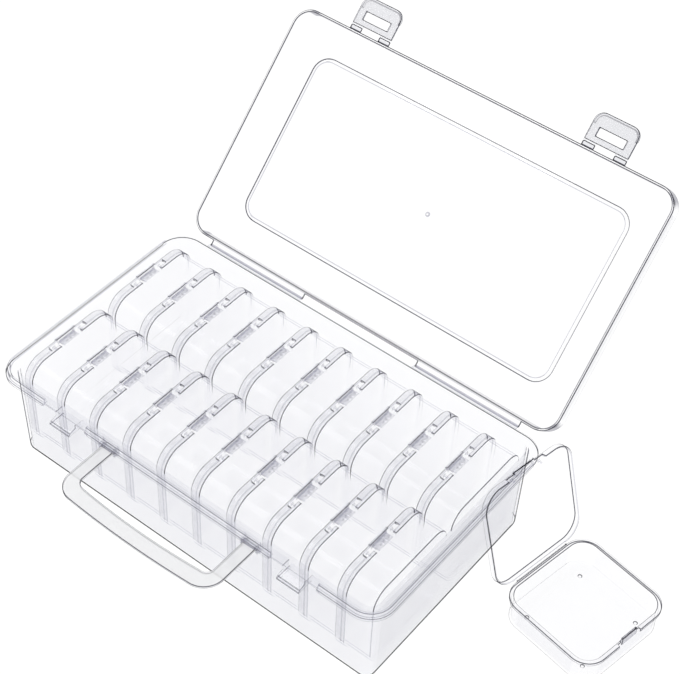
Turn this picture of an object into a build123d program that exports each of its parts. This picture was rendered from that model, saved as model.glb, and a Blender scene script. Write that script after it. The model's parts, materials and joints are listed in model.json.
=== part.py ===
from build123d import *
from math import cos, radians, sin, tan
import os

os.makedirs("parts", exist_ok=True)

# A clear hinged keeper case that holds two rows of small flat hinged boxes on edge,
# with one more small box standing open beside it.
# Frame: origin at the centre of the case's underside, +X along the case,
# +Y towards the lid's hinge, +Z up. Millimetres and degrees.

# ---------------------------------------------------------------- small box
box_width = 56.0            # along its hinge
box_depth = 55.0            # from its hinge side to its snap side
box_body_height = 15.9      # floor to rim, feet not counted
box_lid_height = 3.4
box_corner_radius = 10.5
box_rim_width = 1.2         # how far the rim stands out from the wall
box_rim_height = 1.9
box_wall = 1.0
box_floor = 1.0
box_lid_plate = 1.2
box_lid_skirt = 1.0
box_foot_radius = 1.1
box_foot_height = 0.8
box_foot_inset = 10.0       # foot centre from the rim's outline
box_lid_seat = 0.05         # closed lid above the rim
box_edge_round = 0.6
box_hinge_length = 33.0
box_hinge_radius = 0.4
box_hinge_offset = 0.3      # hinge axis outside the rim
box_hinge_clearance = 0.3
snap_bar_width = 10.0
snap_bar_thickness = 1.2
snap_bar_height = 2.6       # above the rim
snap_clearance = 0.35
snap_notch_width = 13.7     # gap in the rim around the snap bar
snap_recess_width = 23.0    # gap in the lid's skirt
snap_tab_width = 13.0
snap_tab_length = 0.9
snap_hook_spacing = 17.4
snap_hook_size = 1.2
snap_hook_length = 2.2

# ---------------------------------------------------------------- how the boxes are stored
boxes_per_row = 10
box_gap = 1.15              # between neighbours in a row
row_gap = 1.0               # between the two rows
row_end_clearance = 0.7
row_side_clearance = 2.0
box_floor_gap = 0.05

# ---------------------------------------------------------------- case base
case_wall = 1.3
case_floor = 1.6
case_draft = 1.2            # degrees, walls lean outwards
case_bottom_round = 3.0
case_body_corner = 5.5
tabs_over_rim = 0.3         # stored boxes' snap tabs above the rim
flange_overhang = 5.8       # front and ends, beyond the wall's top
back_overhang = 3.4
flange_corner = 13.0
flange_plate = 1.4
flange_edge_depth = 2.0
flange_edge_wall = 1.2
lip_height = 2.4
lip_wall = 1.2
lip_setback = 1.1           # lip's outer face inside the flange's edge

# ---------------------------------------------------------------- case lid
lid_clearance = 0.4         # between the lid and the lip
lid_seat_gap = 0.1
lid_height = 9.6
lid_plate = 1.4
lid_skirt = 1.3
lid_edge_round = 1.5
lid_open_angle = 134.4
lid_back_setback = 1.0      # lid's back face inside the back flange's edge
panel_inset = 18.0
panel_rise = 1.2
panel_corner = 9.0
gate_radius = 0.9
gate_height = 0.4

# ---------------------------------------------------------------- case hinge
hinge_outset = 1.7          # axis behind the back flange's edge
hinge_drop = 0.9            # axis below the flange's top
hinge_bead_radius = 0.45
hinge_strip_thickness = 0.8
hinge_slot_half = 35.0      # half of the slot between the two strips
hinge_strip_length = 61.0
hinge_running = 0.08

# ---------------------------------------------------------------- latches and catches
latch_spacing = 138.0
latch_width = 24.4
latch_length = 15.4
latch_plate = 1.2
latch_corner = 5.0
latch_rib_width = 1.2
latch_rib_height = 0.7
latch_window_width = 14.9
latch_window_near = 3.6
latch_window_far = 7.9
latch_film_slot = 10.6
latch_film_thickness = 0.8
latch_bead_radius = 0.35
latch_root_gap = 0.1
latch_axis_outset = 2.7     # crease ahead of the lid's front face
latch_axis_rise = 0.5       # crease above the skirt's edge
latch_zone_margin = 1.0
latch_flange_gap = 0.4
catch_width = 12.8
catch_tip_height = 0.9
catch_reach = 3.4           # tip beyond the crease
catch_drop = 6.8            # tip's lower edge below the crease
catch_wall = 1.4
catch_window_clearance = 0.4  # ramp's top below the closed latch's window edge
catch_notch_outer = 14.2
catch_rib_depth = 4.2       # tip's solid depth behind its front edge

# ---------------------------------------------------------------- handle
handle_span = 93.0
handle_leg_width = 7.0
handle_bar_width = 8.2
handle_reach = 32.6
handle_thickness = 1.6
handle_corner = 11.0
handle_bow = 2.0
handle_axis_drop = 4.6      # axis below the flange's top
handle_axis_outset = 2.8    # axis ahead of the wall's top
handle_boss_radius = 1.8
handle_pin_radius = 0.9
handle_running = 0.08
handle_side_gap = 0.3
ear_thickness = 1.4
ear_radius = 2.0

# ---------------------------------------------------------------- the box that stands open beside the case
loose_case_gap = 0.5        # lid that leans over, to the flange's end
loose_box_y = 30.0
loose_box_turn = -9.7
loose_lid_angle = 107.0

# ---------------------------------------------------------------- sizes that follow
box_body_top = box_foot_height + box_body_height
box_thickness = box_body_top + box_lid_seat + box_lid_height
box_pitch = box_thickness + box_gap
hinge_side_reach = box_depth / 2 + box_hinge_offset + box_hinge_radius
box_stand_z = case_floor + box_floor_gap + hinge_side_reach
row_centre_y = (box_width + row_gap) / 2
row_length = boxes_per_row * box_pitch - box_gap

inner_length = row_length + 2 * row_end_clearance
inner_width = 2 * box_width + row_gap + 2 * row_side_clearance
body_length = inner_length + 2 * case_wall
body_width = inner_width + 2 * case_wall

rim_top = box_stand_z + box_depth / 2 + snap_tab_length - tabs_over_rim
flange_top = rim_top - lip_height
flange_under = flange_top - flange_plate
flange_edge_under = flange_top - flange_edge_depth
draft_growth = flange_top * tan(radians(case_draft))
flange_end_x = body_length / 2 + draft_growth + flange_overhang
flange_front_y = -(body_width / 2 + draft_growth + flange_overhang)
flange_back_y = body_width / 2 + draft_growth + back_overhang
flange_width = flange_back_y - flange_front_y
flange_mid_y = (flange_back_y + flange_front_y) / 2

lip_inset = lip_setback + lip_wall
lid_half_length = flange_end_x - lip_inset - lid_clearance
lid_front_y = flange_front_y + lip_inset + lid_clearance
lid_back_y = flange_back_y - lid_back_setback
lid_width = lid_back_y - lid_front_y
lid_mid_y = (lid_back_y + lid_front_y) / 2
lid_corner = flange_corner - lip_inset - lid_clearance
lid_edge_z = flange_top + lid_seat_gap
lid_top_z = lid_edge_z + lid_height

hinge_y = flange_back_y + hinge_outset
hinge_z = flange_top - hinge_drop
latch_y = lid_front_y - latch_axis_outset
latch_z = lid_edge_z + latch_axis_rise
latch_xs = (-latch_spacing / 2, latch_spacing / 2)
latch_zone_half = latch_width / 2 + latch_zone_margin

handle_y = -(body_width / 2 + draft_growth) - handle_axis_outset
handle_z = flange_top - handle_axis_drop
handle_leg_x = (handle_span - handle_leg_width) / 2

lid_swing = (
    Pos(0, hinge_y, hinge_z) * Rot(-lid_open_angle, 0, 0) * Pos(0, -hinge_y, -hinge_z)
)


def save(piece, name):
    """Label a finished piece and write it as its own STEP file."""
    piece.label = name
    export_step(piece, f"parts/{name}.step")


# ---------------------------------------------------------------- small box, lying on its feet
box_hinge_x = -box_depth / 2 - box_hinge_offset
snap_bar_x = box_depth / 2 - box_rim_width - snap_bar_thickness / 2 + box_wall / 2
foot_x = box_depth / 2 - box_foot_inset
foot_y = box_width / 2 - box_foot_inset
wall_depth = box_depth - 2 * box_rim_width
wall_width = box_width - 2 * box_rim_width
wall_corner = box_corner_radius - box_rim_width

with BuildPart() as box_body:
    with BuildSketch(Plane.XY.offset(box_foot_height)):
        RectangleRounded(wall_depth, wall_width, wall_corner)
    extrude(amount=box_body_height)
    fillet(box_body.faces().sort_by(Axis.Z)[0].edges(), box_edge_round)
    with BuildSketch(Plane.XY.offset(box_body_top - box_rim_height)):
        RectangleRounded(box_depth, box_width, box_corner_radius)
        with Locations((box_depth / 2, 0)):
            Rectangle(2 * box_rim_width, snap_notch_width, mode=Mode.SUBTRACT)
    extrude(amount=box_rim_height)
    with BuildSketch(Plane.XY.offset(box_foot_height + box_floor)):
        RectangleRounded(
            wall_depth - 2 * box_wall, wall_width - 2 * box_wall, wall_corner - box_wall
        )
    extrude(amount=box_body_height, mode=Mode.SUBTRACT)
    with BuildSketch(Plane.XY):
        with GridLocations(2 * foot_x, 2 * foot_y, 2, 2):
            Circle(box_foot_radius)
    extrude(amount=box_foot_height + box_floor / 2)
    with BuildSketch(Plane.XY.offset(box_body_top - box_rim_height)):
        with Locations((snap_bar_x, 0)):
            Rectangle(snap_bar_thickness, snap_bar_width)
    extrude(amount=box_rim_height + snap_bar_height)
    with BuildSketch(Plane.XZ.offset(-box_hinge_length / 2)):
        with Locations((box_hinge_x, box_body_top - box_hinge_radius)):
            Circle(box_hinge_radius)
        with Locations((-box_depth / 2, box_body_top - box_hinge_radius)):
            Rectangle(2 * box_hinge_offset, box_hinge_radius)
    extrude(amount=box_hinge_length)

lid_edge = box_body_top + box_lid_seat
plate_under = box_thickness - box_lid_plate
hook_x = box_depth / 2 - box_lid_skirt - snap_hook_size

with BuildPart() as box_lid:
    with BuildSketch(Plane.XY.offset(lid_edge)):
        RectangleRounded(box_depth, box_width, box_corner_radius)
    extrude(amount=box_lid_height)
    fillet(box_lid.faces().sort_by(Axis.Z)[-1].edges(), box_edge_round)
    with BuildSketch(Plane.XY.offset(lid_edge)):
        RectangleRounded(
            box_depth - 2 * box_lid_skirt,
            box_width - 2 * box_lid_skirt,
            box_corner_radius - box_lid_skirt,
        )
        with Locations((box_depth / 2, 0)):
            Rectangle(4 * box_lid_skirt, snap_recess_width)
        with Locations((-box_depth / 2, 0)):
            Rectangle(
                2 * (box_hinge_radius + box_hinge_clearance),
                box_hinge_length + 2 * box_hinge_clearance,
            )
    extrude(amount=box_lid_height - box_lid_plate, mode=Mode.SUBTRACT)
    with BuildSketch(Plane.XY.offset(plate_under)):
        with Locations((box_depth / 2, 0)):
            Rectangle(2 * snap_tab_length, snap_tab_width)
    extrude(amount=box_lid_plate)
    with BuildSketch(Plane.XY.offset(plate_under)):
        with Locations((snap_bar_x, 0)):
            Rectangle(
                snap_bar_thickness + 2 * snap_clearance, snap_bar_width + 2 * snap_clearance
            )
    extrude(amount=box_lid_plate, mode=Mode.SUBTRACT)
    with BuildSketch(Plane.XY.offset(plate_under - snap_hook_length + box_lid_seat)):
        with Locations((hook_x, -snap_hook_spacing / 2), (hook_x, snap_hook_spacing / 2)):
            Rectangle(snap_hook_size, snap_hook_size)
    extrude(amount=snap_hook_length)

# ---------------------------------------------------------------- stored boxes
# A stored box stands on its hinge side, its lid facing -X and its snap side up.
stand_up = Rot(0, -90, 0)
first_box_x = -row_length / 2 + box_thickness
row_ys = (-row_centre_y, row_centre_y)

for row, y in enumerate(row_ys):
    for column in range(boxes_per_row):
        number = row * boxes_per_row + column + 1
        place = Pos(first_box_x + column * box_pitch, y, box_stand_z) * stand_up
        with BuildPart() as stored_body:
            add(box_body.part.moved(place))
        save(stored_body.part, f"box_body_{number:02d}")
        with BuildPart() as stored_lid:
            add(box_lid.part.moved(place))
        save(stored_lid.part, f"box_lid_{number:02d}")

# ---------------------------------------------------------------- loose box
# Its lid leans back towards the case and clears the flange's end.
loose_lean = radians(loose_lid_angle - 90)
loose_hinge_z = box_body_top - box_hinge_radius
lean_at_flange = (flange_top - loose_hinge_z) * tan(loose_lean)
lid_over_hinge = (box_thickness - loose_hinge_z) / cos(loose_lean)
loose_reach = lean_at_flange + lid_over_hinge - box_hinge_x
turned_reach = loose_reach * cos(radians(loose_box_turn))
turned_corner = box_width / 2 * abs(sin(radians(loose_box_turn)))
loose_box_x = flange_end_x + loose_case_gap + turned_reach + turned_corner
loose_place = Pos(loose_box_x, loose_box_y, 0) * Rot(0, 0, loose_box_turn)
loose_swing = (
    Pos(box_hinge_x, 0, loose_hinge_z)
    * Rot(0, -loose_lid_angle, 0)
    * Pos(-box_hinge_x, 0, -loose_hinge_z)
)

with BuildPart() as loose_body:
    add(box_body.part.moved(loose_place))
save(loose_body.part, "loose_box_body")

with BuildPart() as loose_lid:
    add(box_lid.part.moved(loose_place * loose_swing))
save(loose_lid.part, "loose_box_lid")

# ---------------------------------------------------------------- case base
rim_plane = Plane.XY.offset(flange_under)
lip_plane = Plane.XY.offset(flange_top)
base_length_at_lip = 2 * (flange_end_x - lip_setback)
catch_top = latch_z - latch_window_near - catch_window_clearance
catch_tip_y = latch_y - catch_reach
catch_under = latch_z - catch_drop
wall_top_y = -(body_width / 2 + draft_growth)
floor_growth = 2 * case_floor * tan(radians(case_draft))
catch_root_y = wall_top_y + case_wall
flange_recess_y = latch_y + latch_plate / 2 + latch_flange_gap
ear_inner_x = handle_leg_x - handle_leg_width / 2 - handle_side_gap - ear_thickness / 2
ear_outer_x = handle_leg_x + handle_leg_width / 2 + handle_side_gap + ear_thickness / 2

with BuildPart() as case_base:
    with BuildSketch(Plane.XY):
        RectangleRounded(body_length, body_width, case_body_corner)
    extrude(amount=flange_top, taper=-case_draft)
    fillet(case_base.faces().sort_by(Axis.Z)[0].edges(), case_bottom_round)
    # flange, with its edge turned down at the front and the ends
    with BuildSketch(rim_plane):
        with Locations((0, flange_mid_y)):
            RectangleRounded(2 * flange_end_x, flange_width, flange_corner)
    extrude(amount=flange_plate)
    with BuildSketch(Plane.XY.offset(flange_edge_under)):
        with Locations((0, flange_mid_y)):
            RectangleRounded(2 * flange_end_x, flange_width, flange_corner)
            RectangleRounded(
                2 * (flange_end_x - flange_edge_wall),
                flange_width - 2 * flange_edge_wall,
                flange_corner - flange_edge_wall,
                mode=Mode.SUBTRACT,
            )
        with Locations((0, flange_back_y)):
            Rectangle(2 * flange_end_x, 2 * flange_corner, mode=Mode.SUBTRACT)
        for latch_x in latch_xs:
            with Locations((latch_x, flange_front_y)):
                Rectangle(2 * catch_notch_outer, 2 * flange_overhang, mode=Mode.SUBTRACT)
    extrude(amount=flange_edge_depth)
    # lip around the lid's front and ends
    with BuildSketch(lip_plane):
        with Locations((0, flange_mid_y)):
            RectangleRounded(
                base_length_at_lip, flange_width - 2 * lip_setback, flange_corner - lip_setback
            )
            RectangleRounded(
                base_length_at_lip - 2 * lip_wall,
                flange_width - 2 * lip_inset,
                flange_corner - lip_inset,
                mode=Mode.SUBTRACT,
            )
        with Locations((0, flange_back_y)):
            Rectangle(2 * flange_end_x, 2 * flange_corner, mode=Mode.SUBTRACT)
        for latch_x in latch_xs:
            with Locations((latch_x, flange_front_y)):
                Rectangle(2 * latch_zone_half, 2 * flange_overhang, mode=Mode.SUBTRACT)
    extrude(amount=lip_height)
    # hollow
    with BuildSketch(Plane.XY.offset(case_floor)):
        RectangleRounded(
            inner_length + floor_growth, inner_width + floor_growth, case_body_corner - case_wall
        )
    extrude(amount=flange_top - case_floor, taper=-case_draft, mode=Mode.SUBTRACT)
    # room for the closed latches, and the wedges that they snap over
    with BuildSketch(rim_plane):
        for latch_x in latch_xs:
            with Locations((latch_x, flange_front_y)):
                Rectangle(
                    2 * latch_zone_half, 2 * (flange_recess_y - flange_front_y)
                )
    extrude(amount=flange_plate, mode=Mode.SUBTRACT)
    for latch_x in latch_xs:
        with BuildSketch(Plane.YZ.offset(latch_x - catch_width / 2)):
            with BuildLine():
                Polyline(
                    (catch_root_y, flange_under),
                    (flange_recess_y, flange_under),
                    (flange_recess_y, catch_top),
                    (catch_tip_y + catch_tip_height, catch_under + 2 * catch_tip_height),
                    (catch_tip_y, catch_under + catch_tip_height),
                    (catch_tip_y, catch_under),
                    (catch_root_y, catch_under),
                    close=True,
                )
            make_face()
        extrude(amount=catch_width)
        with BuildSketch(Plane.YZ.offset(latch_x - catch_width / 2 + catch_wall)):
            with BuildLine():
                Polyline(
                    (wall_top_y, flange_under - catch_wall),
                    (flange_recess_y + catch_wall, catch_top),
                    (catch_tip_y + catch_rib_depth, catch_under),
                    (wall_top_y, catch_under),
                    close=True,
                )
            make_face()
        extrude(amount=catch_width - 2 * catch_wall, mode=Mode.SUBTRACT)
    # ears that carry the handle's pins
    for side in (-1, 1):
        for ear_x in (ear_inner_x, ear_outer_x):
            with BuildSketch(Plane.YZ.offset(side * ear_x - ear_thickness / 2)):
                with Locations((handle_y, handle_z)):
                    Circle(ear_radius)
                with Locations((handle_y, (handle_z + flange_under) / 2)):
                    Rectangle(2 * ear_radius, flange_under - handle_z)
                with Locations((handle_y, handle_z)):
                    Circle(handle_pin_radius, mode=Mode.SUBTRACT)
            extrude(amount=ear_thickness)

# ---------------------------------------------------------------- handle
bar_outer_y = handle_y - handle_reach
bar_inner_y = bar_outer_y + handle_bar_width
outer_half = handle_span / 2
inner_half = outer_half - handle_leg_width
inner_corner = handle_corner - handle_leg_width

with BuildPart() as handle:
    with BuildSketch(Plane.XY.offset(handle_z - handle_thickness / 2)) as strap:
        with BuildLine():
            Line((-outer_half, handle_y), (-outer_half, bar_outer_y))
            ThreePointArc(
                (-outer_half, bar_outer_y), (0, bar_outer_y - handle_bow), (outer_half, bar_outer_y)
            )
            Line((outer_half, bar_outer_y), (outer_half, handle_y))
            Line((outer_half, handle_y), (inner_half, handle_y))
            Line((inner_half, handle_y), (inner_half, bar_inner_y))
            ThreePointArc(
                (inner_half, bar_inner_y), (0, bar_inner_y - handle_bow), (-inner_half, bar_inner_y)
            )
            Line((-inner_half, bar_inner_y), (-inner_half, handle_y))
            Line((-inner_half, handle_y), (-outer_half, handle_y))
        make_face()
        fillet(strap.vertices().group_by(Axis.Y)[1], inner_corner)
        fillet(strap.vertices().group_by(Axis.Y)[0], handle_corner)
    extrude(amount=handle_thickness)
    for side in (-1, 1):
        leg_start = side * handle_leg_x - handle_leg_width / 2
        with BuildSketch(Plane.YZ.offset(leg_start)):
            with Locations((handle_y, handle_z)):
                Circle(handle_boss_radius)
        extrude(amount=handle_leg_width)
        with BuildSketch(Plane.YZ.offset(leg_start)):
            with Locations((handle_y, handle_z)):
                Circle(handle_pin_radius + handle_running)
        extrude(amount=handle_leg_width, mode=Mode.SUBTRACT)

pin_length = ear_outer_x - ear_inner_x + ear_thickness

with BuildPart() as handle_pin_left:
    with BuildSketch(Plane.YZ.offset(-ear_outer_x - ear_thickness / 2)):
        with Locations((handle_y, handle_z)):
            Circle(handle_pin_radius)
    extrude(amount=pin_length)

with BuildPart() as handle_pin_right:
    with BuildSketch(Plane.YZ.offset(ear_inner_x - ear_thickness / 2)):
        with Locations((handle_y, handle_z)):
            Circle(handle_pin_radius)
    extrude(amount=pin_length)

# ---------------------------------------------------------------- case lid, closed, then swung open
panel_length = 2 * (lid_half_length - panel_inset)
panel_width = lid_width - 2 * panel_inset
strip_xs = (-hinge_slot_half - hinge_strip_length, hinge_slot_half)
film_root_y = lid_front_y + lid_skirt / 2
film_end_y = latch_y + latch_bead_radius

with BuildPart() as lid_closed:
    with BuildSketch(Plane.XY.offset(lid_edge_z)):
        with Locations((0, lid_mid_y)):
            RectangleRounded(2 * lid_half_length, lid_width, lid_corner)
    extrude(amount=lid_height)
    fillet(lid_closed.faces().sort_by(Axis.Z)[-1].edges(), lid_edge_round)
    with BuildSketch(Plane.XY.offset(lid_top_z - lid_plate)):
        with Locations((0, lid_mid_y)):
            RectangleRounded(panel_length, panel_width, panel_corner)
    extrude(amount=lid_plate + panel_rise)
    with BuildSketch(Plane.XY.offset(lid_edge_z)):
        with Locations((0, lid_mid_y)):
            RectangleRounded(
                2 * (lid_half_length - lid_skirt), lid_width - 2 * lid_skirt, lid_corner - lid_skirt
            )
    extrude(amount=lid_height - lid_plate, mode=Mode.SUBTRACT)
    with BuildSketch(Plane.XY.offset(lid_edge_z)):
        with Locations((0, lid_mid_y)):
            RectangleRounded(
                panel_length - 2 * lid_plate, panel_width - 2 * lid_plate, panel_corner - lid_plate
            )
    extrude(amount=lid_height - lid_plate + panel_rise, mode=Mode.SUBTRACT)
    with BuildSketch(Plane.XY.offset(lid_top_z + panel_rise - lid_plate - gate_height)):
        with Locations((0, lid_mid_y)):
            Circle(gate_radius)
    extrude(amount=gate_height)
    # hinge strips behind, each with a rib down to its bead
    for strip_x in strip_xs:
        with BuildSketch(Plane.YZ.offset(strip_x)):
            with BuildLine():
                Polyline(
                    (lid_back_y - lid_skirt / 2, lid_edge_z),
                    (hinge_y - hinge_bead_radius, lid_edge_z),
                    (hinge_y - hinge_bead_radius, hinge_z + hinge_bead_radius + hinge_running),
                    (hinge_y + hinge_bead_radius, hinge_z + hinge_bead_radius + hinge_running),
                    (hinge_y + hinge_bead_radius, lid_edge_z + hinge_strip_thickness),
                    (lid_back_y - lid_skirt / 2, lid_edge_z + hinge_strip_thickness),
                    close=True,
                )
            make_face()
        extrude(amount=hinge_strip_length)
    # film roots of the latches, in front
    for latch_x in latch_xs:
        with BuildSketch(Plane.XY.offset(latch_z - latch_film_thickness / 2)):
            with Locations((latch_x, (film_root_y + film_end_y) / 2)):
                Rectangle(latch_width, film_root_y - film_end_y)
                Rectangle(latch_film_slot, film_root_y - film_end_y, mode=Mode.SUBTRACT)
        extrude(amount=latch_film_thickness)

with BuildPart() as case_lid:
    add(lid_closed.part.moved(lid_swing))

# ---------------------------------------------------------------- hinge strips of the base, each with its bead


def hinge_strip(strip_x):
    """One strip: a plate out from the back flange that ends in the round bead."""
    with BuildPart() as strip:
        with BuildSketch(Plane.YZ.offset(strip_x)):
            with Locations((hinge_y, hinge_z)):
                Circle(hinge_bead_radius)
            with Locations(((flange_back_y + hinge_y) / 2, hinge_z)):
                Rectangle(hinge_y - flange_back_y, 2 * hinge_bead_radius)
        extrude(amount=hinge_strip_length)
    return strip.part


hinge_film_left = hinge_strip(strip_xs[0])
hinge_film_right = hinge_strip(strip_xs[1])

# ---------------------------------------------------------------- latches
film_length = (latch_width - latch_film_slot) / 2


def latch_outline(width, near, far, corner):
    """Plate outline ahead of the crease, with a rounded free end."""
    with BuildSketch() as outline:
        with BuildLine():
            Polyline(
                (-width / 2, latch_y - near),
                (-width / 2, latch_y - far),
                (width / 2, latch_y - far),
                (width / 2, latch_y - near),
                close=True,
            )
        make_face()
        fillet(outline.vertices().group_by(Axis.Y)[0], corner)
    return outline.sketch


def latch(latch_x):
    """One latch as it points straight ahead of the closed lid, then swung open with the lid."""
    near = latch_bead_radius + latch_root_gap
    rib_near = latch_window_far + latch_rib_width
    with BuildPart() as straight:
        with BuildSketch(Plane.XY.offset(latch_z - latch_plate / 2)):
            with Locations((latch_x, 0)):
                add(latch_outline(latch_width, near, latch_length, latch_corner))
            with Locations((latch_x, latch_y - (latch_window_near + latch_window_far) / 2)):
                Rectangle(
                    latch_window_width, latch_window_far - latch_window_near, mode=Mode.SUBTRACT
                )
        extrude(amount=latch_plate)
        with BuildSketch(Plane.XY.offset(latch_z + latch_plate / 2)):
            with Locations((latch_x, 0)):
                add(latch_outline(latch_width, rib_near, latch_length, latch_corner))
                add(
                    latch_outline(
                        latch_width - 2 * latch_rib_width,
                        rib_near,
                        latch_length - latch_rib_width,
                        latch_corner - latch_rib_width,
                    ),
                    mode=Mode.SUBTRACT,
                )
        extrude(amount=latch_rib_height)
    return straight.part.moved(lid_swing)


def latch_bead(start_x):
    """One film bead on the crease, at the end of the lid's film."""
    with BuildPart() as bead:
        with BuildSketch(Plane.YZ.offset(start_x)):
            with Locations((latch_y, latch_z)):
                Circle(latch_bead_radius)
            with Locations((latch_y + latch_bead_radius / 2, latch_z)):
                Rectangle(latch_bead_radius, 2 * latch_bead_radius)
        extrude(amount=film_length)
    return bead.part.moved(lid_swing)


for side_name, latch_x in zip(("left", "right"), latch_xs):
    save(latch(latch_x), f"latch_{side_name}")
    save(latch_bead(latch_x - latch_width / 2), f"latch_{side_name}_film_a")
    save(latch_bead(latch_x + latch_film_slot / 2), f"latch_{side_name}_film_b")

save(case_base.part, "case_base")
save(handle.part, "handle")
save(handle_pin_left.part, "handle_pin_left")
save(handle_pin_right.part, "handle_pin_right")
save(case_lid.part, "case_lid")
save(hinge_film_left, "hinge_film_left")
save(hinge_film_right, "hinge_film_right")
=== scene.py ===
import json
import math
import bmesh
import bpy
from mathutils import Matrix, Vector
from mathutils.bvhtree import BVHTree


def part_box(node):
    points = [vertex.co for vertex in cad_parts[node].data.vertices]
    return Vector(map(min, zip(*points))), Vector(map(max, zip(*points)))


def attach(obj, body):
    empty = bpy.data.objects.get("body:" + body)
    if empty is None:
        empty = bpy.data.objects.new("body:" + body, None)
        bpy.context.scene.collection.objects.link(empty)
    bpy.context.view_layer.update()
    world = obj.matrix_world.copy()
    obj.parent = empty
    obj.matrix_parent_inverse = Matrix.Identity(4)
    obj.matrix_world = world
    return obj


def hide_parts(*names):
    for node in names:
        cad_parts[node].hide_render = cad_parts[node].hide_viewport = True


# A clear keeper case, open, with twenty small flat boxes in it and one open beside it.
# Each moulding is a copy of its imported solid. Its sharp edges are bevelled to narrow bands,
# and bands and rounded faces take the darker looks that outlines have in clear plastic.
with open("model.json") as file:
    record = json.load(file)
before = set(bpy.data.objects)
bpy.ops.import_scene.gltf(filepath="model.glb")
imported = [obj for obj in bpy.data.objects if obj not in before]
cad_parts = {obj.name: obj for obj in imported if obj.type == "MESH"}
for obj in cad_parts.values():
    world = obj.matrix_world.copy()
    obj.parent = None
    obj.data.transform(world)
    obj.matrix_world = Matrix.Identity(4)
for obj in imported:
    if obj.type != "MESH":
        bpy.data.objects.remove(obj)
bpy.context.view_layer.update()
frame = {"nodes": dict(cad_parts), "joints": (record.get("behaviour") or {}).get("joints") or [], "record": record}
nodes = frame["nodes"]
joints = {joint["name"]: joint for joint in frame["joints"]}
bodies = frame["record"]["behaviour"]["bodies"]
body_of = {node: body for body, members in bodies.items() for node in members}
scene = bpy.context.scene

MM = 0.001
TO_MM = Matrix.Scale(1 / MM, 4)


# ---------------------------------------------------------------- node helpers
def fresh(name):
    """An empty node material and its tree."""
    mat = bpy.data.materials.new(name)
    mat.use_nodes = True
    mat.node_tree.nodes.clear()
    return mat, mat.node_tree


def add(tree, kind, **settings):
    """A node with its sockets or properties set by name."""
    node = tree.nodes.new(kind)
    for key, value in settings.items():
        if key in node.inputs:
            node.inputs[key].default_value = value
        else:
            setattr(node, key, value)
    return node


def calc(tree, operation, *values):
    """A math node's result from numbers and sockets."""
    node = add(tree, "ShaderNodeMath", operation=operation)
    for socket, value in zip(node.inputs, values):
        if isinstance(value, (int, float)):
            socket.default_value = value
        else:
            tree.links.new(value, socket)
    return node.outputs[0]


def span(tree, value, low, high, top=1.0, curve="LINEAR"):
    """Where a value lies between low and high, as a number from 0 to top."""
    node = add(tree, "ShaderNodeMapRange", interpolation_type=curve)
    node.inputs["From Min"].default_value = low
    node.inputs["From Max"].default_value = high
    node.inputs["To Max"].default_value = top
    tree.links.new(value, node.inputs["Value"])
    return node.outputs["Result"]


def blend_colours(tree, share, first, second):
    """A colour mix; first and second are colours or sockets."""
    node = add(tree, "ShaderNodeMix", data_type="RGBA")
    tree.links.new(share, node.inputs["Factor"])
    colour_inputs = [socket for socket in node.inputs if socket.type == "RGBA"]
    for socket, value in zip(colour_inputs, (first, second)):
        if isinstance(value, tuple):
            socket.default_value = (*value, 1)
        else:
            tree.links.new(value, socket)
    return next(socket for socket in node.outputs if socket.type == "RGBA")


def shader_mix(tree, share, first, second):
    """Two shaders mixed; share, a number or a socket, is the second one's."""
    node = add(tree, "ShaderNodeMixShader")
    if isinstance(share, float):
        node.inputs[0].default_value = share
    else:
        tree.links.new(share, node.inputs[0])
    tree.links.new(first.outputs[0], node.inputs[1])
    tree.links.new(second.outputs[0], node.inputs[2])
    return node


def seen_directly(tree):
    """1 for camera, mirror and transmission rays, 0 for light that falls on the object."""
    path = add(tree, "ShaderNodeLightPath")
    share = calc(tree, "MAXIMUM", path.outputs["Is Camera Ray"], path.outputs["Is Glossy Ray"])
    return calc(tree, "MAXIMUM", share, path.outputs["Is Transmission Ray"])


# ---------------------------------------------------------------- clear plastic
BASE_MIRROR = 0.035             # mirrored share seen face on
GRAZING_MIRROR = 0.9            # and what is added at grazing angles,
GRAZING_POWER = 5.0             # by this power of the slant
POLISH = 0.02                   # roughness of the gloss
RIPPLE = 0.03                   # strength of its bump
RIPPLE_DEPTH = 0.0005
RIPPLE_AND_SHEEN = (60.0, 60.0, 9.0)        # streaks per metre along each axis, for the ripple and the painted sheen and shade
SHEEN_AND_SHADE_RANGE = (0.35, 0.65)       # noise values between which the painted sheen and shade goes from least to most
SHADOW_TINT = (0.985, 0.985, 0.985)
OUTLINE = (0.72, 0.80)          # slant at which a rounded edge starts and ends darkening
BOTTOM_OUTLINE = (0.44, 0.52)   # the same for the curve under the walls


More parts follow.
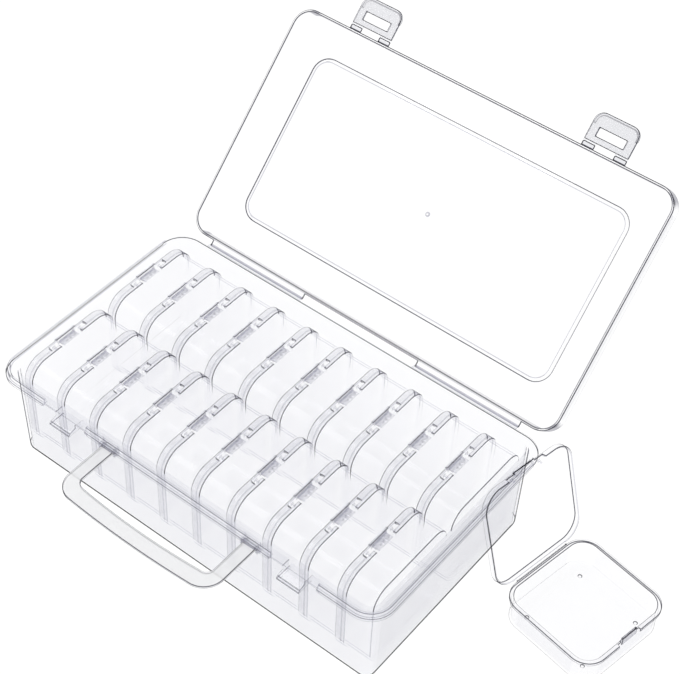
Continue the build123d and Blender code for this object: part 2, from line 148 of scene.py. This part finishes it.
def clear_plastic(name, face, along, power=None, gloss=0.4, streak=RIPPLE_AND_SHEEN, sheen_and_shade=0.004,
                  outline=OUTLINE, milky=0.0):
    """Polished clear moulding, with the tint face where seen face on and along where slanted.

    A flat wall greys slowly, by a power of the slant. With no power the piece is a rounded
    edge, which darkens in a narrow band along its outline. Slow streaks ripple the gloss,
    and a share of them is painted into the tint as soft bands of sheen and shade. A milky
    share scatters light instead."""
    mat, tree = fresh(name)
    link = tree.links.new
    where = add(tree, "ShaderNodeTexCoord")
    stretch = add(tree, "ShaderNodeMapping", Scale=streak)
    link(where.outputs["Object"], stretch.inputs["Vector"])
    streak_noise = add(tree, "ShaderNodeTexNoise", Scale=1.0, Detail=2.0, Roughness=0.5)
    link(stretch.outputs[0], streak_noise.inputs["Vector"])
    streaks = streak_noise.outputs["Fac"]

    slant = add(tree, "ShaderNodeLayerWeight", Blend=0.5).outputs["Facing"]
    if power:
        seen_along = calc(tree, "POWER", slant, power)
    else:
        seen_along = span(tree, slant, *outline, curve="SMOOTHSTEP")
    # The streaks' share of the greying is painted sheen and shade, in soft bands.
    greying = calc(tree, "ADD", seen_along, span(tree, streaks, *SHEEN_AND_SHADE_RANGE, top=sheen_and_shade))
    tint = blend_colours(tree, greying, face, along)

    # Light that passes on to other surfaces gets the shadow's tint, so shadows stay pale.
    path = add(tree, "ShaderNodeLightPath")
    lit = calc(tree, "MAXIMUM", path.outputs["Is Shadow Ray"], path.outputs["Is Diffuse Ray"])
    body = add(tree, "ShaderNodeBsdfTransparent")
    link(blend_colours(tree, lit, tint, SHADOW_TINT), body.inputs["Color"])
    if milky:
        cloud = add(tree, "ShaderNodeBsdfDiffuse", Color=(*face, 1))
        body = shader_mix(tree, milky, body, cloud)

    bump = add(tree, "ShaderNodeBump", Strength=RIPPLE, Distance=RIPPLE_DEPTH)
    link(streaks, bump.inputs["Height"])
    shine = add(tree, "ShaderNodeBsdfGlossy", Color=(1, 1, 1, 1), Roughness=POLISH)
    link(bump.outputs["Normal"], shine.inputs["Normal"])
    grazing = calc(tree, "POWER", slant, GRAZING_POWER)
    mirror = calc(tree, "MULTIPLY_ADD", grazing, GRAZING_MIRROR, BASE_MIRROR)
    backfacing = add(tree, "ShaderNodeNewGeometry").outputs["Backfacing"]
    outside = calc(tree, "MAXIMUM", calc(tree, "SUBTRACT", gloss, backfacing), 0.0)
    outside = calc(tree, "MULTIPLY", outside, calc(tree, "SUBTRACT", 1.0, lit))
    surface = shader_mix(tree, calc(tree, "MULTIPLY", mirror, outside), body, shine)
    out = add(tree, "ShaderNodeOutputMaterial")
    link(surface.outputs[0], out.inputs["Surface"])
    return mat


# A look's tones: "face" for flat walls, "round" and "foot" for rounded edges, "dark", "deep"
# and "faint" for lines, and "rim", "tab" and "root" for the places of that name.
LINE_ALONG = (0.10, 0.10, 0.13)
CASE_TINT = (0.968, 0.969, 0.976)
BOX_TINT = (0.9968, 0.9968, 0.9982)
HANDLE_TINT = (0.912, 0.914, 0.922)
# Streak scales on the boxes. The streaks ripple the gloss and paint sheen and shade into the tint, in long upright
# bands on the walls and in specks on the rims.
BOX_RIPPLE_AND_SHEEN = (90.0, 90.0, 6.0)
RIM_SPECKS = (400.0, 400.0, 400.0)
# Fine specks that paint the shading of the snap tab's ribs.
TAB_RIB_SHADE = (900.0, 900.0, 900.0)

case_look = {
    "face": clear_plastic("case_face", CASE_TINT, (0.22, 0.22, 0.26), power=8.0),
    "round": clear_plastic("case_round", CASE_TINT, (0.20, 0.20, 0.23)),
    "foot": clear_plastic("case_foot", CASE_TINT, (0.05, 0.05, 0.06), outline=BOTTOM_OUTLINE),
    "dark": clear_plastic("case_line", (0.40, 0.40, 0.44), LINE_ALONG, power=3.0),
    "faint": clear_plastic("case_faint", (0.66, 0.66, 0.71), LINE_ALONG, power=3.0),
    "deep": clear_plastic("case_far_line", (0.03, 0.03, 0.04), LINE_ALONG, power=3.0),
}
lid_look = {
    "face": clear_plastic("lid_face", (0.986, 0.986, 0.991), (0.20, 0.20, 0.24), power=8.0),
    "round": clear_plastic("lid_round", (0.990, 0.990, 0.994), (0.42, 0.42, 0.46)),
    "dark": clear_plastic("lid_line", (0.10, 0.10, 0.12), (0.06, 0.06, 0.08), power=3.0),
    "faint": clear_plastic("lid_faint", (0.66, 0.66, 0.71), LINE_ALONG, power=3.0),
    "root": clear_plastic("lid_root", (0.90, 0.902, 0.918), (0.20, 0.20, 0.24), power=6.0),
}
box_look = {
    # The boxes' walls take soft upright bands of painted sheen and shade.
    "face": clear_plastic("box_face", BOX_TINT, (0.40, 0.40, 0.46), power=12.0,
                          gloss=0.25, streak=BOX_RIPPLE_AND_SHEEN, sheen_and_shade=0.010),
    "round": clear_plastic("box_round", BOX_TINT, (0.86, 0.86, 0.89), gloss=0.25),
    "dark": clear_plastic("box_line", (0.17, 0.17, 0.20), LINE_ALONG, power=3.0, gloss=0.2),
    "faint": clear_plastic("box_faint", (0.76, 0.76, 0.80), LINE_ALONG, power=3.0, gloss=0.2),
    "rim": clear_plastic("box_rim", (0.925, 0.925, 0.94), (0.25, 0.25, 0.30), power=6.0,
                         gloss=0.2, streak=RIM_SPECKS, sheen_and_shade=0.08),
    # The snap tab and bar are grey, with fine specks of painted rib shade.
    "tab": clear_plastic("box_tab", (0.93, 0.93, 0.95), (0.25, 0.25, 0.30), power=4.0,
                         gloss=0.2, streak=TAB_RIB_SHADE, sheen_and_shade=0.30),
}
loose_lid_look = {
    **box_look,
    "round": clear_plastic("loose_round", BOX_TINT, (0.30, 0.30, 0.33), power=14.0),
    "dark": clear_plastic("loose_line", (0.12, 0.12, 0.14), LINE_ALONG, power=3.0),
    "rim": clear_plastic("loose_rim", (0.975, 0.975, 0.983), (0.25, 0.25, 0.30), power=6.0),
}
loose_body_look = {
    **loose_lid_look,
    "face": clear_plastic("loose_body_face", (0.972, 0.972, 0.978), (0.40, 0.40, 0.46),
                          power=12.0),
    "foot": clear_plastic("loose_body_foot", (0.95, 0.95, 0.96), (0.05, 0.05, 0.06),
                          outline=BOTTOM_OUTLINE),
}
latch_look = {
    "face": clear_plastic("latch_face", (0.82, 0.822, 0.840), (0.20, 0.20, 0.24), power=6.0,
                          milky=0.3),
    "round": clear_plastic("latch_round", (0.90, 0.902, 0.918), (0.14, 0.14, 0.17)),
    "dark": clear_plastic("latch_line", (0.14, 0.14, 0.17), LINE_ALONG, power=3.0),
}
handle_look = {
    "face": clear_plastic("handle_face", HANDLE_TINT, (0.20, 0.20, 0.24), power=6.0,
                          milky=0.45),
    "round": clear_plastic("handle_round", HANDLE_TINT, (0.18, 0.18, 0.20)),
    "dark": clear_plastic("handle_line", (0.16, 0.16, 0.18), LINE_ALONG, power=3.0),
    "faint": clear_plastic("handle_faint", (0.62, 0.62, 0.66), LINE_ALONG, power=3.0),
}
film_look = clear_plastic("film_face", (0.93, 0.933, 0.945), (0.20, 0.20, 0.24), power=4.0)
pin_look = clear_plastic("pin_face", (0.97, 0.971, 0.977), (0.40, 0.40, 0.44), power=5.0)


# ---------------------------------------------------------------- moulded pieces
SHARP = math.radians(28)        # an edge that may show as a line
SMOOTH = math.radians(2)        # above this, two faces belong to a curve
FLAT = math.radians(0.5)        # below this, two faces are one
WELD = 0.002 * MM
NARROW = 1.5 * MM               # area over outline of a curve's strips
CURVE_SHARE = 0.3               # smooth share of such a strip's outline
STRAY = 0.02 * MM               # a bevelled corner further off the solid goes back onto it
SAME_CURVE = math.cos(math.radians(32))


def steady_normals(mesh):
    """Normals that stay flat on the flat walls and turn only in the rounded edges."""
    around = [[] for _ in mesh.vertices]
    for face in mesh.polygons:
        for v in face.vertices:
            around[v].append(face)
    normals = []
    for face in mesh.polygons:
        for v in face.vertices:
            total = Vector()
            for other in around[v]:
                if other.normal.dot(face.normal) > SAME_CURVE:
                    total += other.normal * other.area
            normals.append(total.normalized())
    mesh.shade_smooth()
    mesh.normals_split_custom_set(normals)


def is_curved(face):
    """Whether a face is a narrow strip of a rounded edge."""
    outline = face.calc_perimeter()
    smooth = sum(
        edge.calc_length() for edge in face.edges
        if SMOOTH < edge.calc_face_angle(0.0) < SHARP
    )
    return smooth > CURVE_SHARE * outline and face.calc_area() < NARROW * outline


def is_sharp(edge):
    return len(edge.link_faces) == 2 and edge.calc_face_angle(0.0) > SHARP


def middle(edge):
    return (edge.verts[0].co + edge.verts[1].co) / 2


def moulding(node, name, look, band, to_local, edge_tone, face_tone=None):
    """A copy of a node's solid, with bands of a width in mm on the edges that show as lines.

    edge_tone takes a point, and face_tone a point and a normal, in the piece's own frame in
    millimetres. They name a tone of the look. For None an edge stays sharp, and a face is
    "round" or "face" by its shape."""
    tones = list(look)
    band_slot = len(tones)
    mesh = bpy.data.meshes.new(name)
    for mat in (*look.values(), None):
        mesh.materials.append(mat)
    work = bmesh.new()
    work.from_mesh(nodes[node].data)
    solid = BVHTree.FromBMesh(work)
    bmesh.ops.remove_doubles(work, verts=work.verts, dist=WELD)
    bmesh.ops.dissolve_limit(work, angle_limit=FLAT, verts=work.verts, edges=work.edges)

    turn = to_local.to_3x3()
    for face in work.faces:
        tone = "round" if is_curved(face) else "face"
        if face_tone:
            centre = to_local @ face.calc_center_median()
            tone = face_tone(centre, (turn @ face.normal).normalized()) or tone
        face.material_index = tones.index(tone)
    lines = [e for e in work.edges if is_sharp(e) and edge_tone(to_local @ middle(e))]
    bmesh.ops.bevel(
        work, geom=lines, offset=band * MM, offset_type="OFFSET", segments=1,
        profile=0.5, affect="EDGES", clamp_overlap=False, material=band_slot,
    )
    for face in work.faces:
        if face.material_index == band_slot:
            tone = edge_tone(to_local @ face.calc_center_median()) or "faint"
            face.material_index = tones.index(tone)
    for vert in work.verts:
        nearest, _, _, stray = solid.find_nearest(vert.co)
        if stray > STRAY:
            vert.co = nearest
    work.to_mesh(mesh)
    work.free()
    mesh.materials.pop(index=band_slot)
    steady_normals(mesh)
    return mesh


def stand_for(node, mesh, shift=(0, 0, 0)):
    """Puts a moulded piece in the node's place, on the node's body."""
    piece = bpy.data.objects.new("m_" + node, mesh)
    piece.location = shift
    scene.collection.objects.link(piece)
    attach(piece, body_of[node])
    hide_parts(node)


def hinged_back(joint_name, degrees):
    """A turn about a joint's axis, from rest."""
    joint = joints[joint_name]
    place = Matrix.Translation(Vector(joint["pos_m"]))
    axis = Vector(joint["axis"])
    return place @ Matrix.Rotation(math.radians(degrees), 4, axis) @ place.inverted()


# ---------------------------------------------------------------- rules for lines and faces
# The rules below work on points p in millimetres. Heights and widths are the solids' own.
LEVEL_SLACK = 0.25              # a height this near to a level is on it
END_SLACK = 0.6                 # and this near to a form's end, in its width
ON_EDGE = 0.4                   # a point less far inside an outline is on its edge
MARGIN = 0.3                    # slack that keeps a whole band above or below a level
SMALL_MARGIN = 0.2
DOWNWARD = -0.9                 # a normal this far down belongs to an underside
UPRIGHT = 0.6                   # a wall's normal leans less than this up or down
PLUMB = 0.1                     # and that of a wall with no rounding less than this


def near(value, target, slack=LEVEL_SLACK):
    return abs(value - target) < slack


def leans(normal, low, high):
    """Whether a normal's upward part is between two numbers."""
    return low < normal.z < high


def inset(x, y, half_x, half_y, corner):
    """How far a point lies inside a rounded rectangle."""
    over_x = abs(x) - (half_x - corner)
    over_y = abs(y) - (half_y - corner)
    if over_x > 0 and over_y > 0:
        return corner - math.hypot(over_x, over_y)
    return corner - max(over_x, over_y)


# ---------------------------------------------------------------- small boxes
# Own frame of a box: lying on its feet, centred, its snap side towards +X.
BOX_HALF = (27.5, 28.0)
BOX_CORNER = 10.5
BOX_HINGE_REACH = 27.8          # from its middle to its hinge
FEET_EDGE = 0.2                 # below this, only the outlines of the feet
FLOOR_CURVE_TOP = 2.2
FLOOR_CURVE_LEAN = (-0.9, -0.3)
RIM_UNDER, RIM_TOP = 14.8, 16.7
LID_EDGE, BOX_TOP = 16.75, 20.15
LID_ROUNDING = 0.62             # height of the lid's rounded edge
LID_ROUNDING_LEAN = (0.15, 0.85)
SKIRT_DEPTH = 0.35              # how deep inside the outline the rim's and skirt's faces lie
SNAP_X = 25.0                   # the snap bar, its tab and the gaps around them lie beyond
BAR_X, BAR_ZONE = 24.5, 6.6     # bar and tab are beyond this, and within this half width
NOTCH_HALF = 6.85               # gap in the body's rim
NOTCH_SLACK = 0.5
RECESS_HALF = 11.5              # gap in the lid's skirt
SNAP_ZONE = 12.2                # half width that holds all of them
STORED_TAB_X, LOOSE_TAB_X = 27.9, 27.2      # from here on, edges at the tab's tip
BOX_BAND = 0.34
LOOSE_LID_BAND = 0.40


def box_inset(p):
    return inset(p.x, p.y, *BOX_HALF, BOX_CORNER)


def in_snap_zone(p):
    return p.x > SNAP_X and abs(p.y) < SNAP_ZONE


# A stored box stands with its snap side up, so that its own x is its height, and the boxes
# around it hide most of its outline.
SNAP_SIDE_X = 16.0
FRONT_SIDE_Y = -17.0
FRONT_ROW_LOWEST = -18.0        # how far down the front side shows in each row
BACK_ROW_LOWEST = 9.0
CASE_WALL_TOP = 6.0             # below this the case's wall dulls a box's outline


def shown_from(lowest_x):
    """The snap side and the front of a stored box, whose outline the stack doesn't hide."""
    def shown(p):
        return p.x > SNAP_SIDE_X or (p.y < FRONT_SIDE_Y and p.x > lowest_x)
    return shown


def everywhere(p):
    return True


def stored_body_line(shown):
    """The snap bar, the ends of its notch, and the rim's two outer edges."""
    def line(p):
        if p.z > RIM_TOP + MARGIN:
            return "faint"
        if not shown(p):
            return None
        if near(p.z, RIM_UNDER) and box_inset(p) < ON_EDGE:
            return "dark" if p.x > CASE_WALL_TOP else "faint"
        if p.z > RIM_UNDER and p.x > SNAP_X and near(abs(p.y), NOTCH_HALF, NOTCH_SLACK):
            return "dark"
        if near(p.z, RIM_TOP) and box_inset(p) < ON_EDGE:
            return "faint"
        return None
    return line


def stored_lid_line(shown):
    """The snap tab in its recess, and the skirt's lower edge."""
    def line(p):
        if not shown(p):
            return None
        if in_snap_zone(p) and p.z < BOX_TOP - MARGIN:
            at_end = near(abs(p.y), RECESS_HALF, END_SLACK)
            return "dark" if at_end or p.x > STORED_TAB_X else "faint"
        if near(p.z, LID_EDGE) and box_inset(p) < ON_EDGE:
            return "faint"
        return None
    return line


def loose_body_line(p):
    """The rim, what stands above it, and the feet."""
    on_rim = p.z > RIM_UNDER - MARGIN and box_inset(p) < ON_EDGE
    return "dark" if on_rim or p.z > RIM_TOP - MARGIN or p.z < FEET_EDGE else None


def loose_lid_line(p):
    """The skirt's two lower edges and the snap."""
    if near(p.z, LID_EDGE) and box_inset(p) < ON_EDGE:
        return "dark"
    if in_snap_zone(p):
        return "dark" if p.x > LOOSE_TAB_X else "faint"
    return "faint" if near(p.z, LID_EDGE) else None


def box_side(shown, clear_above, last=False):
    """Tinted skirt and rim, the lid's dark outer edge, and the ribbed snap tab and bar,
    whose ribs get fine specks of painted shade.

    The outline is dark above clear_above and faint below. The last box of a row also shows
    the outline of its floor."""
    def tone(p, normal):
        outline = "dark" if p.x > clear_above else "faint"
        in_floor_curve = p.z < FLOOR_CURVE_TOP and leans(normal, *FLOOR_CURVE_LEAN)
        if last and in_floor_curve and shown(p):
            return outline
        on_bar = p.x > BAR_X and abs(p.y) < BAR_ZONE and p.z > RIM_TOP - SMALL_MARGIN
        if on_bar and normal.z > DOWNWARD:
            return "tab"
        if not shown(p):
            return None
        in_rounding = p.z > BOX_TOP - LID_ROUNDING and leans(normal, *LID_ROUNDING_LEAN)
        if in_rounding and box_inset(p) < LID_ROUNDING:
            return outline
        if p.z > RIM_UNDER and abs(normal.z) < UPRIGHT and box_inset(p) < SKIRT_DEPTH:
            return "rim"
        return None
    return tone


# The stored boxes are two shapes, body and lid, in four versions of their outline.
FRONT_ROW, BACK_ROW = shown_from(FRONT_ROW_LOWEST), shown_from(BACK_ROW_LOWEST)
GROUPS = (
    ("front", range(1, 10), FRONT_ROW, False),
    ("front_last", (10,), FRONT_ROW, True),
    ("back", range(11, 20), BACK_ROW, False),
    ("back_last", (20,), BACK_ROW, True),
)
BOX_STAND_Z = 29.85             # middle of a stored box above the ground

lowest, highest = (Vector(corner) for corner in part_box("box_body_01"))
row_y = (lowest.y + highest.y) / 2
lid_face_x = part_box("box_lid_01")[0][0]
stood_up = (
    Matrix.Translation((lid_face_x + BOX_TOP * MM, row_y, BOX_STAND_Z * MM))
    @ Matrix.Rotation(math.radians(-90), 4, "Y")
)
for kind, line, slot in (
    ("box_body", stored_body_line, "box_clear"),
    ("box_lid", stored_lid_line, "box_lid_clear"),
):
    first = f"{kind}_01"
    origin = Vector(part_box(first)[0])
    for group, numbers, shown, last in GROUPS:
        side = box_side(shown, CASE_WALL_TOP, last)
        shape = moulding(
            first, f"m_{kind}_{group}", box_look, BOX_BAND,
            TO_MM @ stood_up.inverted(), line(shown), side,
        )
        for number in numbers:
            node = f"{kind}_{number:02d}"
            stand_for(node, shape, Vector(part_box(node)[0]) - origin)

# The loose box lies turned beside the case, its lid open. Its whole outline shows.
LOOSE_TURN = math.radians(-9.7)
LOOSE_LID_ANGLE = 107.0
LOOSE_FOOT_LEAN = (-0.97, -0.02)
loose_lid_side = box_side(everywhere, -BOX_HALF[0] - 1)


def loose_body_side(p, normal):
    """As on the lid, and the curve under the walls."""
    if p.z < RIM_UNDER / 2 and leans(normal, *LOOSE_FOOT_LEAN):
        return "foot"
    return loose_lid_side(p, normal)


loose_hinge = Vector(joints["loose_box_lid_hinge"]["pos_m"])
lying = (
    Matrix.Translation((loose_hinge.x, loose_hinge.y, 0))
    @ Matrix.Rotation(LOOSE_TURN, 4, "Z")
    @ Matrix.Translation((BOX_HINGE_REACH * MM, 0, 0))
)
closed = hinged_back("loose_box_lid_hinge", -LOOSE_LID_ANGLE)
stand_for(
    "loose_box_body",
    moulding("loose_box_body", "m_loose_box_body", loose_body_look, BOX_BAND,
             TO_MM @ lying.inverted(), loose_body_line, loose_body_side),
)
stand_for(
    "loose_box_lid",
    moulding("loose_box_lid", "m_loose_box_lid", loose_lid_look, LOOSE_LID_BAND,
             TO_MM @ lying.inverted() @ closed, loose_lid_line, loose_lid_side),
)

# ---------------------------------------------------------------- case base
# The rules for the case, its lid and the handle use the shared frame, the lid's when shut.
LIP_TOP, FLANGE_TOP, FLANGE_UNDER, FLANGE_EDGE = 57.95, 55.55, 54.15, 53.55
FLANGE_CORNER = 13.0
FLANGE_BACK_Y, FLANGE_FRONT_Y = 64.364, -66.764
FRONT_Y = -60.0                 # the latches, catches and ears are in front of this
LATCH_X, LATCH_GAP_HALF = 69.0, 14.4
CATCH_ZONE, CATCH_TOP = 7.5, 55.05
CATCH_HALF, CATCH_SLACK = 6.4, 0.3
CATCH_ROOT_Y, CATCH_SHOWN_Y, CATCH_TIP_Y = -58.0, -63.0, -69.2
EAR_X, EAR_ZONE = 43.0, 6.0
FAR_SIDE_WIDTH = 14.0
FLANGE_TOP_DEPTH = 3.0          # how deep inside the outline the flange's top edges lie
LIP_OUTER_DEPTH = 1.5           # and the lip's outer edge
BOTTOM_CURVE_TOP = 3.1
BOTTOM_CURVE_LEAN = (-0.98, -0.04)
CASE_BAND = 0.28

flange_half_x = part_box("case_base")[1][0] / MM
flange_half_y = (FLANGE_BACK_Y - FLANGE_FRONT_Y) / 2
flange_mid_y = (FLANGE_BACK_Y + FLANGE_FRONT_Y) / 2


def catch_line(p):
    """The catch's tip and its outer sides."""
    outer_side = near(abs(abs(p.x) - LATCH_X), CATCH_HALF, CATCH_SLACK)
    return "dark" if p.y < CATCH_TIP_Y or (outer_side and p.y < CATCH_SHOWN_Y) else None


def case_line(p):
    """Catches, flange, lip and ears; the flange's far sides are the darkest."""
    in_catch = p.y < CATCH_ROOT_Y and near(abs(p.x), LATCH_X, CATCH_ZONE)
    if in_catch and p.z < CATCH_TOP:
        return catch_line(p)
    depth = inset(p.x, p.y - flange_mid_y, flange_half_x, flange_half_y, FLANGE_CORNER)
    at_latch = p.y < FRONT_Y and near(abs(p.x), LATCH_X, LATCH_GAP_HALF)
    far_side = p.x < FAR_SIDE_WIDTH - flange_half_x or p.y > FLANGE_BACK_Y - FAR_SIDE_WIDTH
    if near(p.z, FLANGE_EDGE) and depth < ON_EDGE and not at_latch:
        return "deep" if far_side else "dark"
    if near(p.z, FLANGE_UNDER) and depth < ON_EDGE and far_side:
        return "deep"
    if near(p.z, FLANGE_TOP) and depth < FLANGE_TOP_DEPTH:
        return "dark" if depth < ON_EDGE else "faint"
    if near(p.z, LIP_TOP):
        return "dark" if depth < LIP_OUTER_DEPTH else "faint"
    if at_latch and p.z > FLANGE_EDGE - SMALL_MARGIN:
        return "faint"
    at_ear = p.y < FRONT_Y and near(abs(p.x), EAR_X, EAR_ZONE)
    return "faint" if at_ear and p.z < FLANGE_UNDER - MARGIN else None


def case_side(p, normal):
    """The curve under the walls; the walls' inner corners keep quiet behind the outer ones."""
    faces_inwards = normal.x * p.x + normal.y * p.y < 0
    if p.z < FLANGE_EDGE and faces_inwards and abs(normal.z) < PLUMB:
        return "face"
    if p.z < BOTTOM_CURVE_TOP and leans(normal, *BOTTOM_CURVE_LEAN):
        return "foot"
    return None


stand_for(
    "case_base",
    moulding("case_base", "m_case_base", case_look, CASE_BAND, TO_MM, case_line, case_side),
)

# ---------------------------------------------------------------- case lid
LID_OPEN = 134.4
LID_LOW, LID_PLATE_TOP = 55.65, 65.25
LID_CORNER = 10.3
LID_INSET, LID_BACK_SETBACK = 2.7, 1.0      # inside the flange's ends and front, and its back
STRIP_ENDS = (35.0, 96.0)
PANEL_DEPTH = 12.0              # deeper than this inside the outline, only the raised panel
GATE_ZONE = 4.0
LID_BAND = 0.42

lid_front = FLANGE_FRONT_Y + LID_INSET
lid_back = FLANGE_BACK_Y - LID_BACK_SETBACK
lid_half_x = flange_half_x - LID_INSET
lid_half_y = (lid_back - lid_front) / 2
lid_mid_y = (lid_back + lid_front) / 2


def lid_line(p):
    """Latch roots, hinge strips, the skirt's lower edge, and the panel with its gate."""
    if p.y < lid_front - SMALL_MARGIN:
        return "dark"
    if p.y > lid_back + SMALL_MARGIN:
        at_end = any(near(abs(p.x), end, END_SLACK) for end in STRIP_ENDS)
        return "dark" if at_end else "faint"
    if near(p.z, LID_LOW):
        return "dark"
    depth = inset(p.x, p.y - lid_mid_y, lid_half_x, lid_half_y, LID_CORNER)
    if depth <= PANEL_DEPTH:
        return None
    if abs(p.x) < GATE_ZONE and abs(p.y - lid_mid_y) < GATE_ZONE:
        return "faint"
    return "dark" if near(p.z, LID_PLATE_TOP) else None


def lid_side(p, normal):
    """The latches' roots are thicker and greyer."""
    return "root" if p.y < lid_front - SMALL_MARGIN else None


shut = hinged_back("lid_hinge", -LID_OPEN)
stand_for(
    "case_lid",
    moulding("case_lid", "m_case_lid", lid_look, LID_BAND, TO_MM @ shut, lid_line, lid_side),
)

# ---------------------------------------------------------------- latches and handle
HANDLE_LEGS_Y = -66.0           # behind this, the handle's legs are under the flange
LATCH_BAND = 0.34
HANDLE_BAND = 0.36


def every_line(p):
    return "dark"


def handle_line(p):
    return "faint" if p.y > HANDLE_LEGS_Y else "dark"


for node in ("latch_left", "latch_right"):
    latch = moulding(node, "m_" + node, latch_look, LATCH_BAND, TO_MM, every_line)
    stand_for(node, latch)
strap = moulding("handle", "m_handle", handle_look, HANDLE_BAND, TO_MM, handle_line)
stand_for("handle", strap)

# The hinge strips, the latches' films and the handle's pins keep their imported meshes.
for name, part in nodes.items():
    if "film" in name or "pin" in name:
        for material_slot in part.material_slots:
            material_slot.material = film_look if "film" in name else pin_look

# ---------------------------------------------------------------- floor and surroundings
FLOOR_HALF = 6.0
FLOOR_DROP = 0.0004             # below the boxes' feet, so that no faces coincide
WHITE = (1, 1, 1, 1)
FLOOR_PAINT = (0.80, 0.80, 0.80, 1)
# As the camera sees it, the floor is mostly its own white, and the rest takes the shadows.
SEEN_GLOW = 0.82
SEEN_PAINT = (0.24, 0.24, 0.24, 1)
SKY_ABOVE = (0.86, 0.86, 0.88, 1)
SKY_LIGHT = 0.55


def white_floor():
    near_corners = [(-FLOOR_HALF, -FLOOR_HALF, 0), (FLOOR_HALF, -FLOOR_HALF, 0)]
    far_corners = [(FLOOR_HALF, FLOOR_HALF, 0), (-FLOOR_HALF, FLOOR_HALF, 0)]
    mesh = bpy.data.meshes.new("floor")
    mesh.from_pydata(near_corners + far_corners, [], [(0, 1, 2, 3)])
    mat, tree = fresh("floor_white")
    paint = add(tree, "ShaderNodeBsdfDiffuse", Color=FLOOR_PAINT)
    glow = add(tree, "ShaderNodeEmission", Color=WHITE, Strength=SEEN_GLOW)
    pale = add(tree, "ShaderNodeBsdfDiffuse", Color=SEEN_PAINT)
    seen = add(tree, "ShaderNodeAddShader")
    tree.links.new(glow.outputs[0], seen.inputs[0])
    tree.links.new(pale.outputs[0], seen.inputs[1])
    surface = shader_mix(tree, seen_directly(tree), paint, seen)
    out = add(tree, "ShaderNodeOutputMaterial")
    tree.links.new(surface.outputs[0], out.inputs["Surface"])
    mesh.materials.append(mat)
    floor = bpy.data.objects.new("floor", mesh)
    floor.location.z = -FLOOR_DROP
    scene.collection.objects.link(floor)


def white_studio():
    """A soft even light; what the camera and reflections see is white, greyer overhead."""
    world = bpy.data.worlds.new("studio")
    scene.world = world
    world.use_nodes = True
    tree = world.node_tree
    tree.nodes.clear()
    where = add(tree, "ShaderNodeTexCoord")
    split = add(tree, "ShaderNodeSeparateXYZ")
    tree.links.new(where.outputs["Generated"], split.inputs[0])
    height = calc(tree, "MULTIPLY_ADD", split.outputs["Z"], 0.5, 0.5)
    ramp = add(tree, "ShaderNodeValToRGB")
    horizon, above = ramp.color_ramp.elements
    horizon.position, horizon.color = 0.5, WHITE
    above.position, above.color = 1.0, SKY_ABOVE
    tree.links.new(height, ramp.inputs[0])
    seen = add(tree, "ShaderNodeBackground", Strength=1.0)
    tree.links.new(ramp.outputs["Color"], seen.inputs["Color"])
    light = add(tree, "ShaderNodeBackground", Color=WHITE, Strength=SKY_LIGHT)
    surface = shader_mix(tree, seen_directly(tree), light, seen)
    out = add(tree, "ShaderNodeOutputWorld")
    tree.links.new(surface.outputs[0], out.inputs["Surface"])


def softbox(name, place, aim, size, power):
    data = bpy.data.lights.new(name, "AREA")
    data.shape = "RECTANGLE"
    data.size, data.size_y = size
    data.energy = power
    lamp = bpy.data.objects.new(name, data)
    lamp.location = place
    lamp.rotation_mode = "QUATERNION"
    lamp.rotation_quaternion = (Vector(aim) - Vector(place)).to_track_quat("-Z", "Y")
    scene.collection.objects.link(lamp)


CASE_MIDDLE = (0.04, 0, 0.03)
white_floor()
white_studio()
softbox("key", (-0.7, -0.6, 1.5), CASE_MIDDLE, size=(0.9, 0.9), power=14)
softbox("fill", (1.2, -0.4, 1.1), CASE_MIDDLE, size=(0.8, 0.8), power=6)

# ---------------------------------------------------------------- camera
# Fitted to straight edges of the case, its lid and the boxes in the photograph.
PICTURE_WIDTH = 680.0
SENSOR_WIDTH = 36.0
FOCAL_PIXELS = 1780.65
AZIMUTH, ELEVATION, ROLL = (math.radians(angle) for angle in (36.73, 46.21, 2.56))
TARGET = Vector((0.03926, 0.0, 0.13000))
DISTANCE = 0.76532
CLIP = (0.01, 20)


def photo_camera():
    back = Vector((
        math.sin(AZIMUTH) * math.cos(ELEVATION),
        -math.cos(AZIMUTH) * math.cos(ELEVATION),
        math.sin(ELEVATION),
    ))
    level_right = (-back).cross(Vector((0, 0, 1))).normalized()
    level_up = level_right.cross(-back)
    right = level_right * math.cos(ROLL) + level_up * math.sin(ROLL)
    up = -level_right * math.sin(ROLL) + level_up * math.cos(ROLL)
    data = bpy.data.cameras.new("camera")
    data.sensor_width = SENSOR_WIDTH
    data.lens = FOCAL_PIXELS * SENSOR_WIDTH / PICTURE_WIDTH
    data.clip_start, data.clip_end = CLIP
    camera = bpy.data.objects.new("camera", data)
    turn = Matrix((right, up, back)).transposed()
    camera.matrix_world = Matrix.Translation(TARGET + back * DISTANCE) @ turn.to_4x4()
    scene.collection.objects.link(camera)
    return camera


scene.camera = photo_camera()
scene.view_settings.view_transform = "Standard"

# A ray passes many clear walls, and may be mirrored between them.
scene.cycles.max_bounces = 12
scene.cycles.transmission_bounces = 4
scene.cycles.glossy_bounces = 10
scene.cycles.diffuse_bounces = 2
scene.cycles.transparent_max_bounces = 200
scene.cycles.caustics_reflective = False
scene.cycles.caustics_refractive = False
